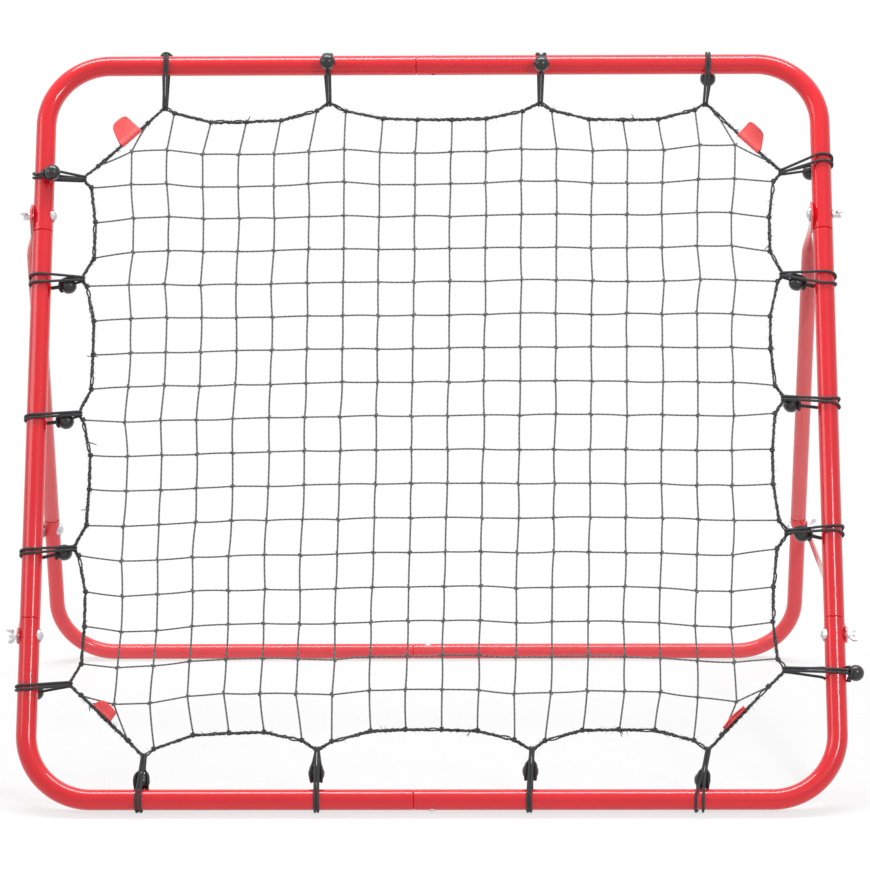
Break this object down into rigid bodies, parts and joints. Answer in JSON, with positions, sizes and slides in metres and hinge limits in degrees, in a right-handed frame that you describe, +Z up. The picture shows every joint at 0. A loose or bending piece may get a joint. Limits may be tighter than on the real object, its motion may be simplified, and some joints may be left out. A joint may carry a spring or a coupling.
{
  "type": "pitch back rebounder",
  "caption": "Square ball-return net hung on elastic loops inside a leaning tubular frame, propped by a hinged rear frame and two flat side braces.",
  "frame": {"origin": "on the floor under the middle of the front floor bar", "axes": "+X to the right as seen from the front, along the floor bars; +Y from the front floor bar towards the rear one; +Z up. The net faces -Y and leans back."},
  "size_m": [1.0474, 0.5692, 0.8212],
  "materials": {
    "red_tube": "gloss",
    "zinc_hardware": "satin",
    "grey_twine": "matte",
    "elastic_cord": "matte",
    "black_ball": "gloss",
    "red_fabric": "matte"
  },
  "bodies": {
    "front_frame": {"upper_left_corner_tube": "red_tube", "upper_right_corner_tube": "red_tube", "lower_left_corner_tube": "red_tube", "lower_right_corner_tube": "red_tube", "left_side_tube": "red_tube", "right_side_tube": "red_tube", "top_bar_screw": "zinc_hardware", "front_floor_bar_screw": "zinc_hardware", "left_pivot_bolt": "zinc_hardware", "right_pivot_bolt": "zinc_hardware", "left_pivot_saddle_washer": "zinc_hardware", "right_pivot_flat_washer": "zinc_hardware", "left_front_brace_bolt": "zinc_hardware", "right_front_brace_bolt": "zinc_hardware", "front_brace_saddle_washers": "zinc_hardware", "net": "grey_twine", "edge_rope": "grey_twine", "top_bungee_cords": "elastic_cord", "bottom_bungee_cords": "elastic_cord", "left_bungee_cords": "elastic_cord", "right_bungee_cords": "elastic_cord", "top_bungee_balls": "black_ball", "bottom_bungee_balls": "black_ball", "left_bungee_balls": "black_ball", "right_bungee_balls": "black_ball", "upper_left_corner_tab": "red_fabric", "upper_right_corner_tab": "red_fabric", "lower_left_corner_tab": "red_fabric", "lower_right_corner_tab": "red_fabric"},
    "rear_frame": {"left_rear_leg": "red_tube", "right_rear_leg": "red_tube", "rear_left_corner_tube": "red_tube", "rear_right_corner_tube": "red_tube", "rear_floor_bar_screw": "zinc_hardware", "left_rear_brace_bolt": "zinc_hardware", "right_rear_brace_bolt": "zinc_hardware", "rear_brace_saddle_washers": "zinc_hardware"},
    "left_brace_link": {"left_brace": "red_tube"},
    "right_brace_link": {"right_brace": "red_tube"},
    "left_pivot_wing_nut_turning": {"left_pivot_wing_nut": "zinc_hardware"},
    "right_pivot_wing_nut_turning": {"right_pivot_wing_nut": "zinc_hardware"},
    "left_front_brace_wing_nut_turning": {"left_front_brace_wing_nut": "zinc_hardware"},
    "right_front_brace_wing_nut_turning": {"right_front_brace_wing_nut": "zinc_hardware"},
    "left_rear_brace_wing_nut_turning": {"left_rear_brace_wing_nut": "zinc_hardware"},
    "right_rear_brace_wing_nut_turning": {"right_rear_brace_wing_nut": "zinc_hardware"}
  },
  "joints": [
    {"name": "rear_frame_fold", "type": "hinge", "parent": "front_frame", "child": "rear_frame", "pos_m": [0, 0.40788, 0.63299], "axis": [1, 0, 0], "range_deg": [-16, 0]},
    {"name": "left_brace_swing", "type": "hinge", "parent": "front_frame", "child": "left_brace_link", "pos_m": [-0.5013, 0.11094, 0.18436], "axis": [1, 0, 0], "range_deg": [-24.5, 0]},
    {"name": "right_brace_swing", "type": "hinge", "parent": "front_frame", "child": "right_brace_link", "pos_m": [0.5013, 0.11094, 0.18436], "axis": [1, 0, 0], "range_deg": [-24.5, 0]},
    {"name": "left_pivot_nut_turn", "type": "hinge", "parent": "front_frame", "child": "left_pivot_wing_nut_turning", "pos_m": [-0.5065, 0.40788, 0.63299], "axis": [-1, 0, 0], "continuous": true},
    {"name": "right_pivot_nut_turn", "type": "hinge", "parent": "front_frame", "child": "right_pivot_wing_nut_turning", "pos_m": [0.5065, 0.40788, 0.63299], "axis": [1, 0, 0], "continuous": true},
    {"name": "left_front_brace_nut_turn", "type": "hinge", "parent": "front_frame", "child": "left_front_brace_wing_nut_turning", "pos_m": [-0.5065, 0.11094, 0.18436], "axis": [-1, 0, 0], "continuous": true},
    {"name": "right_front_brace_nut_turn", "type": "hinge", "parent": "front_frame", "child": "right_front_brace_wing_nut_turning", "pos_m": [0.5065, 0.11094, 0.18436], "axis": [1, 0, 0], "continuous": true},
    {"name": "left_rear_brace_nut_turn", "type": "hinge", "parent": "rear_frame", "child": "left_rear_brace_wing_nut_turning", "pos_m": [-0.518, 0.48007, 0.19256], "axis": [-1, 0, 0], "continuous": true},
    {"name": "right_rear_brace_nut_turn", "type": "hinge", "parent": "rear_frame", "child": "right_rear_brace_wing_nut_turning", "pos_m": [0.49, 0.48007, 0.19256], "axis": [1, 0, 0], "continuous": true}
  ],
  "couplings": [
    {"joint": "left_brace_swing", "follows": "rear_frame_fold", "ratio": 1.5},
    {"joint": "right_brace_swing", "follows": "rear_frame_fold", "ratio": 1.5}
  ]
}
